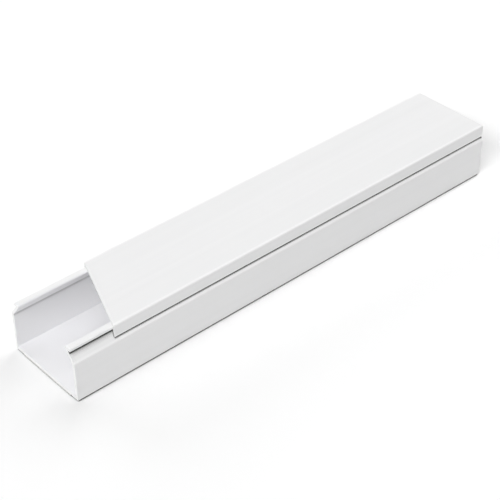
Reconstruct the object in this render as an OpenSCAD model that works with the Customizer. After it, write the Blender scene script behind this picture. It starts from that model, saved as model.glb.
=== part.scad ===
// Adhesive cable trunking: an extruded channel with a clip-on lid and a strip of adhesive tape on its back.
// X runs along the length, Y across, Z up. Z = 0 is the face of the release liner.

/* [Trunking] */
// Length of the base
base_len = 224; // [120:1:3000]
// Width across the outside of the walls
trunking_w = 40; // [32:0.5:110]
// Height from the back of the base to the top of the lid
trunking_h = 25; // [14:0.5:65]
// Thickness of the base all round
wall_t = 1.2; // [0.9:0.05:1.5]
// Radius along the two long edges of the back
foot_r = 0.15; // [0.1:0.05:0.6]

/* [Shoulder] */
// Height from the bend at the foot of the shoulder to the top of the lid
clip_h = 7.4; // [7:0.1:10]
// How far the shoulder leans in for each millimetre that it rises
shoulder_lean = 0.75; // [0.65:0.05:1]
// Radius along the top edge of each lip
lip_edge_r = 0.5; // [0.2:0.05:0.8]

/* [Lid] */
// Thickness of the lid
lid_t = 1.2; // [0.9:0.05:1.4]
// Set-back of the skirt from the outside of the wall
skirt_setback = 0.8; // [0.5:0.05:0.9]
// Radius along the two long edges of the lid
lid_edge_r = 0.5; // [0.3:0.05:1]
// Thickness of the hook's edge, under the lip
hook_edge_t = 0.2; // [0.1:0.05:0.4]
// Length of base left bare at the near end, on the -Y side
bare_short = 18.5; // [0:0.5:60]
// Length of base left bare at the near end, on the +Y side
bare_long = 34; // [0:0.5:80]

/* [Fits] */
// Clearance round the lip, to the lid above, the skirt beside and the hook below
lip_gap = 0.2; // [0.1:0.05:0.25]
// Clearance between the foot of the skirt and the shoulder
groove_gap = 0.4; // [0.2:0.05:0.5]

/* [Adhesive tape] */
// Width of the tape and of its liner
tape_w = 30; // [15:0.5:31]
// Thickness of the tape
tape_t = 0.5; // [0.3:0.1:2]
// Thickness of the release liner
liner_t = 0.1; // [0.08:0.01:0.2]

/* [Hidden] */
$fn = 48;

half_len = base_len / 2;
half_w = trunking_w / 2;
half_t = wall_t / 2;

// Heights, from the liner up
base_z = liner_t + tape_t;
floor_z = base_z + wall_t;
lid_top_z = base_z + trunking_h;
lid_under_z = lid_top_z - lid_t;
lip_top_z = lid_under_z - lip_gap;
lip_under_z = lip_top_z - wall_t;
hook_top_z = lip_under_z - lip_gap;
hook_edge_z = hook_top_z - hook_edge_t;

// Distances from the middle, on either side
wall_in_y = half_w - wall_t;
skirt_out_y = half_w - skirt_setback;
skirt_in_y = skirt_out_y - lid_t;
lip_tip_y = skirt_in_y - lip_gap;

// Middle of the base's thickness at its two bends
bend = [half_w - half_t, lid_top_z - clip_h];
nose = [bend.x - shoulder_lean * (lip_top_z - half_t - bend.y), lip_top_z - half_t];

// Direction out of the shoulder, square to it
shoulder_out = [1, shoulder_lean] / norm([1, shoulder_lean]);

// A plane parallel to the shoulder, set off from its middle: its place at a height, and its height at a place
function shoulder_y(z, off) = bend.x + (off - shoulder_out.y * (z - bend.y)) / shoulder_out.x;
function shoulder_z(y, off) = bend.y + (off - shoulder_out.x * (y - bend.x)) / shoulder_out.y;

// The foot of the skirt follows the shoulder
skirt_foot_off = half_t + groove_gap;
hook_edge_y = shoulder_y(hook_edge_z, skirt_foot_off);

// The waste that rounding takes off a corner, between two faces with the given outward directions
module corner_waste(middle, r, out_a, out_b) {
    corner = (out_a + out_b) / (1 + out_a * out_b);
    translate(middle)
        difference() {
            polygon(2 * r * [[0, 0], out_a, corner, out_b]);
            circle(r);
        }
}

module base_half_section() {
    difference() {
        polygon([
            [0, base_z],
            [half_w, base_z],
            [half_w, shoulder_z(half_w, half_t)],
            [shoulder_y(lip_under_z, half_t), lip_under_z],
            [lip_tip_y, lip_under_z],
            [lip_tip_y, lip_top_z],
            [shoulder_y(lip_top_z, -half_t), lip_top_z],
            [wall_in_y, shoulder_z(wall_in_y, -half_t)],
            [wall_in_y, floor_z],
            [0, floor_z],
        ]);
        corner_waste([half_w - foot_r, base_z + foot_r], foot_r, [0, -1], [1, 0]);
        corner_waste(bend, half_t, [1, 0], shoulder_out);
        corner_waste(nose, half_t, [0, 1], -shoulder_out);
        corner_waste([lip_tip_y - lip_edge_r, lip_top_z - lip_edge_r], lip_edge_r, [1, 0], [0, 1]);
    }
}

module lid_half_section() {
    difference() {
        polygon([
            [0, lid_top_z],
            [skirt_out_y, lid_top_z],
            [skirt_out_y, shoulder_z(skirt_out_y, skirt_foot_off)],
            [hook_edge_y, hook_edge_z],
            [hook_edge_y, hook_top_z],
            [skirt_in_y, hook_top_z],
            [skirt_in_y, lid_under_z],
            [0, lid_under_z],
        ]);
        corner_waste([skirt_out_y - lid_edge_r, lid_top_z - lid_edge_r], lid_edge_r, [1, 0], [0, 1]);
    }
}

// Both halves of a section drawn as [Y, Z], as a length along X
module extruded() {
    rotate([90, 0, 90])
        linear_extrude(base_len, center = true) {
            children();
            mirror([1, 0]) children();
        }
}

// Plan of the lid, with the slanted cut at its near end
module lid_plan() {
    polygon([
        [bare_short - half_len, -half_w],
        [half_len, -half_w],
        [half_len, half_w],
        [bare_long - half_len, half_w],
    ]);
}

module strip(bottom_z, thickness) {
    translate([-half_len, -tape_w / 2, bottom_z])
        cube([base_len, tape_w, thickness]);
}

module base() {
    color("white") extruded() base_half_section();
}

module lid() {
    color("white")
        intersection() {
            extruded() lid_half_section();
            linear_extrude(lid_top_z) lid_plan();
        }
}

module adhesive_tape() {
    color("gainsboro") strip(liner_t, tape_t);
}

module release_liner() {
    color("wheat") strip(0, liner_t);
}

base();
lid();
adhesive_tape();
release_liner();
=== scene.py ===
"""Looks of the adhesive cable trunking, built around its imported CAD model. Metres, in the part's own frame."""
import math

import bpy
from mathutils import Euler, Matrix, Vector


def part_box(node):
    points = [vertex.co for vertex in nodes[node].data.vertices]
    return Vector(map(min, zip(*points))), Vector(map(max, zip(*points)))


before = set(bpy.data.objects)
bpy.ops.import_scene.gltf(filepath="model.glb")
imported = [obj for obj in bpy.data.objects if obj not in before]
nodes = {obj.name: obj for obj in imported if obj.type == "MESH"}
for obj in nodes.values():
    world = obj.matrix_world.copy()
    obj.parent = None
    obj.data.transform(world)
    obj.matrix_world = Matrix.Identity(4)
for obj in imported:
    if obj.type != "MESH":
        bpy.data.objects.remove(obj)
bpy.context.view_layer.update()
base_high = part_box("base")[1]
lid_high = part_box("lid")[1]

# Long edges of the section, each by its distance from the middle and its height
OUTER_BEND = (base_high[1] - 0.0002, 0.0186)
INNER_BEND = (0.0188, 0.018)
LID_RIM = (lid_high[1] - 0.0004, lid_high[2])
SKIRT_FOOT = (lid_high[1], 0.0201)


# Node helpers

def grey(level):
    return (level, level, level, 1.0)


def new_material(name):
    material = bpy.data.materials.new(name)
    material.use_nodes = True
    return material, material.node_tree, material.node_tree.nodes["Principled BSDF"]


def add(tree, kind, inputs=None, **settings):
    """A node with its settings, and with inputs given as sockets to link or as values."""
    node = tree.nodes.new(kind)
    for key, value in settings.items():
        setattr(node, key, value)
    for key, value in (inputs or {}).items():
        if isinstance(value, bpy.types.NodeSocket):
            tree.links.new(value, node.inputs[key])
        else:
            node.inputs[key].default_value = value
    return node


def axes(tree, vector):
    return add(tree, "ShaderNodeSeparateXYZ", {0: vector}).outputs


def math_node(tree, operation, value, *others):
    """The values put together one after another, such as the product of them all."""
    for other in others or (0.0,):
        value = add(tree, "ShaderNodeMath", {0: value, 1: other}, operation=operation).outputs[0]
    return value


def vector_node(tree, operation, a, b=(0.0, 0.0, 0.0)):
    return add(tree, "ShaderNodeVectorMath", {0: a, 1: b}, operation=operation).outputs[0]


def length(tree, vector):
    return add(tree, "ShaderNodeVectorMath", {0: vector}, operation="LENGTH").outputs["Value"]


def noise(tree, place, scale, detail=2.0, rough=0.5, stretch=(1, 1, 1), shift=(0, 0, 0)):
    """Noise over the object's own place, stretched along the axes."""
    mapped = add(tree, "ShaderNodeMapping", {"Vector": place, "Location": shift, "Scale": stretch}).outputs[0]
    pattern = {"Vector": mapped, "Scale": scale, "Detail": detail, "Roughness": rough}
    return add(tree, "ShaderNodeTexNoise", pattern).outputs["Fac"]


def spread(tree, value, low, high, from_low=0.3, from_high=0.7):
    """A value drawn from one range to another, and held at the ends. Noise lies mostly in the range given here."""
    ranges = {"Value": value, "From Min": from_low, "From Max": from_high, "To Min": low, "To Max": high}
    return add(tree, "ShaderNodeMapRange", ranges).outputs[0]


def blend_value(tree, factor, a, b):
    return add(tree, "ShaderNodeMix", {0: factor, 2: a, 3: b}, data_type="FLOAT").outputs[0]


def blend_colour(tree, factor, a, b):
    return add(tree, "ShaderNodeMix", {0: factor, 6: a, 7: b}, data_type="RGBA").outputs[2]


def ramp(tree, value, stops):
    """A value drawn through the given stops, each a place and a level."""
    node = add(tree, "ShaderNodeValToRGB", {"Fac": value})
    steps = node.color_ramp.elements
    while len(steps) < len(stops):
        steps.new(0.5)
    for step, (place, _) in zip(steps, stops):
        step.position = place
    for step, (_, level) in zip(steps, stops):
        step.color = grey(level)
    return node.outputs["Color"]


def set_bump(tree, shader, height, strength, distance):
    bump = add(tree, "ShaderNodeBump", {"Strength": strength, "Distance": distance, "Height": height})
    tree.links.new(bump.outputs[0], shader.inputs["Normal"])


# Plastic

# Lighter, a little bluer white painted on the inside faces as light inside the channel
PAINTED_INSIDE_LIGHT = (0.935, 0.933, 0.95, 1)
# Near-white painted highlight along the long edges
EDGE_HIGHLIGHT = (0.99, 0.99, 0.992, 1)
# Near-black painted shade for the creases, the groove under the skirt and the inner bend
CREASE_SHADE = (0.03, 0.03, 0.028, 1)
PVC_IOR = 1.53

# A saw cut's normal has at least this share along the length
CUT_FACING = 0.8
# On an inside face, the place across times the normal across is below this
INWARD = -0.001
# The channel's floor faces up by this share at least, and lies below this height
FLOOR_FACING = 0.9
FLOOR_BELOW = 0.005

# Distances from a long edge between which the painted highlight fades
EDGE_HIGHLIGHT_FADE = (0.0004, 0.001)

# Painted shade in the creases of a piece: how far they are felt for, how dark it is by how open, and its share on the
# inside
CREASE_REACH = 0.003
CREASE = ((0.55, 0.98), (0.64, 0.9), (0.75, 0.75), (0.83, 0.58), (0.89, 0.42), (0.92, 0.25), (0.96, 0.0))
CREASE_INSIDE = 0.25
# Painted shade in the groove under the skirt, felt for along the base and half up
GROOVE_REACH = 0.0013
GROOVE_ALONG = 0.894
GROOVE_UP = 0.447
GROOVE = ((0.7, 1.0), (0.92, 0.98), (0.96, 0.55), (0.99, 0.0))
# The shoulder faces up by this share at least, and lies under the lip; the groove's painted shade starts below the
# skirt's foot
SHOULDER_FACING = 0.3
LIP_Z = 0.023
GROOVE_START = (SKIRT_FOOT[1] - 0.0011, SKIRT_FOOT[1] - 0.0007)
# The painted shade line along the inner bend: its darkness, and the distances between which it fades
FOLD = 0.36
FOLD_FADE = (0.0002, 0.0012)
# Heights between which the painted shade sets in
CREASE_SHADE_START = (0.012, 0.015)


def pvc(name, shift, edges, tone):
    """White extruded PVC: die lines and broad streaks along the length, long edges painted lighter in patches as a
    highlight, chalky saw-cut ends, painted shade in the creases, and inside faces painted lighter and bluer as light.
    """
    material, tree, shader = new_material(name)
    place = add(tree, "ShaderNodeTexCoord").outputs["Object"]
    normal = add(tree, "ShaderNodeNewGeometry").outputs["True Normal"]
    at = axes(tree, place)
    facing = axes(tree, normal)
    cut = math_node(tree, "GREATER_THAN", math_node(tree, "ABSOLUTE", facing["X"]), CUT_FACING)

    streaks = noise(tree, place, scale=240, stretch=(0.012, 1, 1), shift=shift)
    lines = noise(tree, place, scale=1500, detail=3, rough=0.6, stretch=(0.004, 1, 1), shift=shift)
    mottle = noise(tree, place, scale=60, detail=3, stretch=(0.4, 1, 1), shift=shift)
    grain = noise(tree, place, scale=5200, shift=shift)
    saw = noise(tree, place, scale=2600, detail=3, rough=0.6, stretch=(1, 0.05, 1), shift=shift)
    patches = noise(tree, place, scale=150, detail=3, rough=0.6, stretch=(0.3, 1, 1), shift=shift)

    def white(level, blue):
        return (level + tone, level + tone, level + tone + blue, 1)

    face = blend_colour(tree, spread(tree, streaks, 0, 1), white(0.884, 0.003), white(0.91, 0.003))
    face = blend_colour(tree, spread(tree, lines, 0, 0.5), face, white(0.876, 0.006))
    face = blend_colour(tree, spread(tree, mottle, 0, 0.3), face, white(0.914, -0.002))
    # Painted light: the channel's inside faces lighter and a little bluer
    face = blend_colour(tree, inside_faces(tree, at, facing), face, PAINTED_INSIDE_LIGHT)
    # Painted highlight: the long edges lighter in patches
    highlight = math_node(tree, "MULTIPLY", near_edges(tree, at, edges), spread(tree, patches, 0.6, 1.0))
    face = blend_colour(tree, highlight, face, EDGE_HIGHLIGHT)
    chalk = blend_colour(tree, spread(tree, saw, 0, 1), grey(0.825), grey(0.885))
    colour = blend_colour(tree, cut, face, chalk)
    # Painted shade: creases, the groove under the skirt and the inner bend darkened towards near black
    colour = blend_colour(tree, crevice(tree, at, facing), colour, CREASE_SHADE)
    tree.links.new(colour, shader.inputs["Base Color"])

    satin = math_node(tree, "ADD", spread(tree, lines, 0.33, 0.43), spread(tree, mottle, -0.03, 0.03))
    rough = blend_value(tree, cut, satin, spread(tree, saw, 0.6, 0.72))
    tree.links.new(rough, shader.inputs["Roughness"])

    skin = math_node(tree, "ADD", math_node(tree, "MULTIPLY", lines, 0.8), math_node(tree, "MULTIPLY", grain, 0.15))
    height = blend_value(tree, cut, skin, math_node(tree, "MULTIPLY", saw, 1.6))
    set_bump(tree, shader, height, strength=0.4, distance=0.00004)
    shader.inputs["IOR"].default_value = PVC_IOR
    return material


def inside_faces(tree, at, facing):
    """1 on the faces of the channel's inside, which are painted lighter and a little bluer as light inside the
    channel, and 0 elsewhere.
    """
    inward = math_node(tree, "LESS_THAN", math_node(tree, "MULTIPLY", at["Y"], facing["Y"]), INWARD)
    upward = math_node(tree, "GREATER_THAN", facing["Z"], FLOOR_FACING)
    floor = math_node(tree, "MULTIPLY", upward, math_node(tree, "LESS_THAN", at["Z"], FLOOR_BELOW))
    return math_node(tree, "MAXIMUM", inward, floor)


def edge_gap(tree, at, edge):
    """Distance from a long edge of the section."""
    across = math_node(tree, "SUBTRACT", math_node(tree, "ABSOLUTE", at["Y"]), edge[0])
    up = math_node(tree, "SUBTRACT", at["Z"], edge[1])
    return length(tree, add(tree, "ShaderNodeCombineXYZ", {"X": across, "Y": up}).outputs[0])


def near_edges(tree, at, edges):
    """How near a point is to one of the long edges, from 0 to 1."""
    near = 0.0
    for edge in edges:
        near = math_node(tree, "MAXIMUM", near, spread(tree, edge_gap(tree, at, edge), 1.0, 0.0, *EDGE_HIGHLIGHT_FADE))
    return near


def crevice(tree, at, facing):
    """How deep a point sits in the creases and the groove of the clip, where the plastic is painted darker as shade,
    from 0 to 1.
    """
    side = math_node(tree, "MULTIPLY", at["Y"], facing["Y"])
    outside = math_node(tree, "GREATER_THAN", side, 0.0)
    inside = math_node(tree, "LESS_THAN", side, INWARD)

    own = add(tree, "ShaderNodeAmbientOcclusion", {"Distance": CREASE_REACH}, samples=16, only_local=True)
    crease = ramp(tree, own.outputs["AO"], CREASE)
    crease = math_node(tree, "MULTIPLY", crease, spread(tree, outside, CREASE_INSIDE, 1.0, 0.0, 1.0))

    # The shoulder is closed both ways along the base under the skirt, and open one way past the lid's ends
    openness = 0.0
    for way in (-1, 1):
        along = add(tree, "ShaderNodeCombineXYZ", {"X": GROOVE_ALONG * way, "Z": GROOVE_UP}).outputs[0]
        sky = add(tree, "ShaderNodeAmbientOcclusion", {"Distance": GROOVE_REACH, "Normal": along}, samples=32)
        openness = math_node(tree, "MAXIMUM", openness, sky.outputs["AO"])
    upward = math_node(tree, "GREATER_THAN", facing["Z"], SHOULDER_FACING)
    below_lip = math_node(tree, "LESS_THAN", at["Z"], LIP_Z)
    above_bend = spread(tree, at["Z"], 0.0, 1.0, *GROOVE_START)
    on_shoulder = math_node(tree, "MULTIPLY", outside, upward, below_lip, above_bend)
    groove = math_node(tree, "MULTIPLY", ramp(tree, openness, GROOVE), on_shoulder)

    from_bend = edge_gap(tree, at, INNER_BEND)
    fold = math_node(tree, "MULTIPLY", inside, spread(tree, from_bend, FOLD, 0.0, *FOLD_FADE))
    deep = math_node(tree, "MAXIMUM", crease, groove, fold)
    return math_node(tree, "MULTIPLY", deep, spread(tree, at["Z"], 0.0, 1.0, *CREASE_SHADE_START))


# Tape and liner

def foam_tape():
    """Closed-cell foam with its cut cells along the edges."""
    material, tree, shader = new_material("foam_tape")
    place = add(tree, "ShaderNodeTexCoord").outputs["Object"]
    cells = add(tree, "ShaderNodeTexVoronoi", {"Vector": place, "Scale": 4200.0}, feature="F1").outputs["Distance"]
    cloud = noise(tree, place, scale=300, detail=3, rough=0.6)
    colour = blend_colour(tree, spread(tree, cells, 0, 1, 0.1, 0.8), grey(0.64), grey(0.5))
    colour = blend_colour(tree, spread(tree, cloud, 0, 0.4), colour, (0.57, 0.57, 0.56, 1))
    tree.links.new(colour, shader.inputs["Base Color"])
    tree.links.new(spread(tree, cloud, 0.78, 0.9), shader.inputs["Roughness"])
    set_bump(tree, shader, cells, strength=0.6, distance=0.0001)
    return material


def liner_paper():
    """Coated release paper: fibres in two sizes under a smooth face."""
    material, tree, shader = new_material("liner_paper")
    place = add(tree, "ShaderNodeTexCoord").outputs["Object"]
    fibres = noise(tree, place, scale=1400, detail=4, rough=0.65, stretch=(0.18, 1, 1))
    clouds = noise(tree, place, scale=90, detail=4, rough=0.6)
    colour = blend_colour(tree, spread(tree, clouds, 0, 1), (0.72, 0.70, 0.63, 1), (0.78, 0.76, 0.70, 1))
    colour = blend_colour(tree, spread(tree, fibres, 0, 0.5), colour, (0.66, 0.63, 0.55, 1))
    tree.links.new(colour, shader.inputs["Base Color"])
    tree.links.new(spread(tree, clouds, 0.3, 0.42), shader.inputs["Roughness"])
    set_bump(tree, shader, fibres, strength=0.25, distance=0.00003)
    return material


# Pieces

WELD = 1e-7
ARC_ANGLE = math.radians(35)


def dress(node, material):
    node.data.materials.clear()
    node.data.materials.append(material)


def shade(tree, geometry, domain, smooth):
    inputs = {"Geometry": geometry, "Shade Smooth": smooth}
    return add(tree, "GeometryNodeSetShadeSmooth", inputs, domain=domain).outputs[0]


def smooth_arcs(node):
    """Shades the facets of each arc as one surface, and leaves the real corners sharp."""
    tree = bpy.data.node_groups.new("smooth_" + node.name, "GeometryNodeTree")
    tree.interface.new_socket("Geometry", in_out="INPUT", socket_type="NodeSocketGeometry")
    tree.interface.new_socket("Geometry", in_out="OUTPUT", socket_type="NodeSocketGeometry")
    mesh = tree.nodes.new("NodeGroupInput").outputs[0]
    mesh = add(tree, "GeometryNodeMergeByDistance", {"Geometry": mesh, "Distance": WELD}).outputs[0]
    angle = add(tree, "GeometryNodeInputMeshEdgeAngle").outputs["Unsigned Angle"]
    soft = add(tree, "FunctionNodeCompare", {0: angle, 1: ARC_ANGLE}, data_type="FLOAT", operation="LESS_THAN")
    mesh = shade(tree, mesh, "FACE", True)
    mesh = shade(tree, mesh, "EDGE", soft.outputs[0])
    tree.links.new(mesh, tree.nodes.new("NodeGroupOutput").inputs[0])
    node.modifiers.new("smooth_arcs", "NODES").node_group = tree


# The shift keeps the two pieces from showing the same pattern
dress(nodes["base"], pvc("base_pvc", shift=(0.0, 0.0, 0.0), edges=(OUTER_BEND,), tone=0.025))
dress(nodes["lid"], pvc("lid_pvc", shift=(0.31, 0.17, 0.05), edges=(LID_RIM, SKIRT_FOOT), tone=0.0))
for name in ("base", "lid"):
    smooth_arcs(nodes[name])
dress(nodes["adhesive_tape"], foam_tape())
dress(nodes["release_liner"], liner_paper())


# Floor

FLOOR_HALF = 6.0
FLOOR_Z = -0.0001
# Paint that the object sees
PLAIN_PAINT = grey(0.95)
# Paint that the camera sees, at the near end and past the far end: at the part's foot, and from this distance on. Its
# grading along the part is painted light and shade: darker by the foot at the near end, lighter over the shadow past
# the far end.
NEAR_AND_FAR = (-base_high[0], 1.2 * base_high[0])
PAINT_AT_FOOT = (0.98, 1.15)
PAINT_AROUND = (1.02, 1.13)
AROUND_FROM = 0.012
# The painted contact shade under the part: how far it is felt for, and the share of paint left by how open it is
CONTACT_SHADE_REACH = 0.0015
CONTACT_SHADE = ((0.3, 0.03), (0.46, 0.3), (0.57, 0.8), (0.75, 1.0))
# Distances between which the first half of the glow sets in, where shadows fall, and then the rest
HALF_GLOW = (AROUND_FROM, 0.1)
FULL_GLOW = (0.3, 1.0)
GLOW = 1.06


def floor_material():
    """Matt white paint, which the camera sees whiter than the object does, and as plain white away from the object.
    Beside the part the camera's paint holds painted light and shade: graded along the part against its shadow, and a
    painted contact shade under its edges.
    """
    material, tree, shader = new_material("floor_paint")
    place = add(tree, "ShaderNodeTexCoord").outputs["Object"]
    beyond = vector_node(tree, "ABSOLUTE", place)
    beyond = vector_node(tree, "SUBTRACT", beyond, (base_high[0], base_high[1], 0.0))
    gap = length(tree, vector_node(tree, "MAXIMUM", beyond))

    along = axes(tree, place)["X"]
    # Painted light and shade: the camera's paint graded along the part, lighter over the shadow past the far end
    at_foot = spread(tree, along, *PAINT_AT_FOOT, *NEAR_AND_FAR)
    around = spread(tree, along, *PAINT_AROUND, *NEAR_AND_FAR)
    paint = blend_colour(tree, spread(tree, gap, 0.0, 1.0, 0.0, AROUND_FROM), at_foot, around)
    cloud = noise(tree, place, scale=12.0)
    paint = blend_colour(tree, spread(tree, cloud, 0, 0.01), paint, grey(0.8))
    # Painted contact shade: the floor darkened towards black where it is closed in under the part
    sky = add(tree, "ShaderNodeAmbientOcclusion", {"Distance": CONTACT_SHADE_REACH}, samples=16).outputs["AO"]
    paint = blend_colour(tree, ramp(tree, sky, CONTACT_SHADE), grey(0.0), paint)
    seen = add(tree, "ShaderNodeLightPath").outputs["Is Camera Ray"]
    paint = blend_colour(tree, seen, PLAIN_PAINT, paint)

    half = spread(tree, gap, 0.0, 0.5, *HALF_GLOW)
    rest = spread(tree, gap, 0.0, 0.5, *FULL_GLOW)
    glow = math_node(tree, "MULTIPLY", math_node(tree, "ADD", half, rest), seen)
    paint = blend_colour(tree, glow, paint, grey(0.0))
    tree.links.new(paint, shader.inputs["Base Color"])
    shader.inputs["Emission Color"].default_value = grey(1.0)
    tree.links.new(math_node(tree, "MULTIPLY", glow, GLOW), shader.inputs["Emission Strength"])
    shader.inputs["Roughness"].default_value = 0.9
    shader.inputs["Specular IOR Level"].default_value = 0.0
    return material


def make_floor():
    mesh = bpy.data.meshes.new("floor")
    corners = [(x * FLOOR_HALF, y * FLOOR_HALF, FLOOR_Z) for x, y in ((-1, -1), (1, -1), (1, 1), (-1, 1))]
    mesh.from_pydata(corners, [], [(0, 1, 2, 3)])
    floor = bpy.data.objects.new("floor", mesh)
    bpy.context.scene.collection.objects.link(floor)
    dress(floor, floor_material())


make_floor()


# Light

# Elevation and turn in degrees, share of full light, width and height
SOFTBOXES = (
    (40, 206, 0.91, 4.0, 1.3),
    (15, 90, 0.39, 2.7, 2.7),
    (40, 20, 0.34, 2.7, 2.7),
    (15, 0, 0.17, 2.7, 2.7),
    (85, 180, 0.15, 2.7, 2.7),
)
LAMP_DISTANCE = 4.0


def make_world():
    """A white room for the camera and the gloss, which adds no light of its own."""
    world = bpy.data.worlds.new("studio")
    bpy.context.scene.world = world
    world.use_nodes = True
    tree = world.node_tree
    tree.nodes.clear()
    path = add(tree, "ShaderNodeLightPath").outputs
    rays = (path["Is Camera Ray"], path["Is Glossy Ray"], path["Is Transmission Ray"])
    seen = math_node(tree, "MAXIMUM", *rays)
    background = add(tree, "ShaderNodeBackground", {"Color": grey(1.0), "Strength": seen})
    output = add(tree, "ShaderNodeOutputWorld")
    tree.links.new(background.outputs[0], output.inputs["Surface"])


def softbox(elevation, turn, share, width, height):
    """A lamp at the given angles, which adds about the given share of full light to a surface that faces it."""
    lamp = bpy.data.lights.new(f"softbox_{elevation}_{turn}", "AREA")
    lamp.shape = "RECTANGLE"
    lamp.size = width
    lamp.size_y = height
    lamp.energy = share * math.pi ** 2 * LAMP_DISTANCE ** 2
    box = bpy.data.objects.new(lamp.name, lamp)
    towards = Vector((1, 0, 0))
    towards.rotate(Euler((0, -math.radians(elevation), math.radians(turn))))
    aim = towards.to_track_quat("Z", "Y").to_matrix().to_4x4()
    box.matrix_world = Matrix.Translation(towards * LAMP_DISTANCE) @ aim
    # The gloss shows the white room, not the lamps
    box.visible_camera = False
    box.visible_glossy = False
    bpy.context.scene.collection.objects.link(box)


make_world()
for settings in SOFTBOXES:
    softbox(*settings)


# Camera, fitted to the photo's edges

CAMERA_PLACE = (-0.312779, -0.339494, 0.353607)
CAMERA_AHEAD = (0.53025, 0.59326, -0.6057)
LENS_MM = 99.78
SENSOR_MM = 36.0
CLIP_START = 0.01


def make_camera():
    data = bpy.data.cameras.new("camera")
    data.sensor_width = SENSOR_MM
    data.lens = LENS_MM
    data.clip_start = CLIP_START
    camera = bpy.data.objects.new("camera", data)
    ahead = Vector(CAMERA_AHEAD).normalized()
    right = ahead.cross(Vector((0, 0, 1))).normalized()
    up = right.cross(ahead)
    aim = Matrix((right, up, -ahead)).transposed().to_4x4()
    camera.matrix_world = Matrix.Translation(CAMERA_PLACE) @ aim
    bpy.context.scene.collection.objects.link(camera)
    bpy.context.scene.camera = camera


make_camera()
bpy.context.scene.view_settings.view_transform = "Standard"
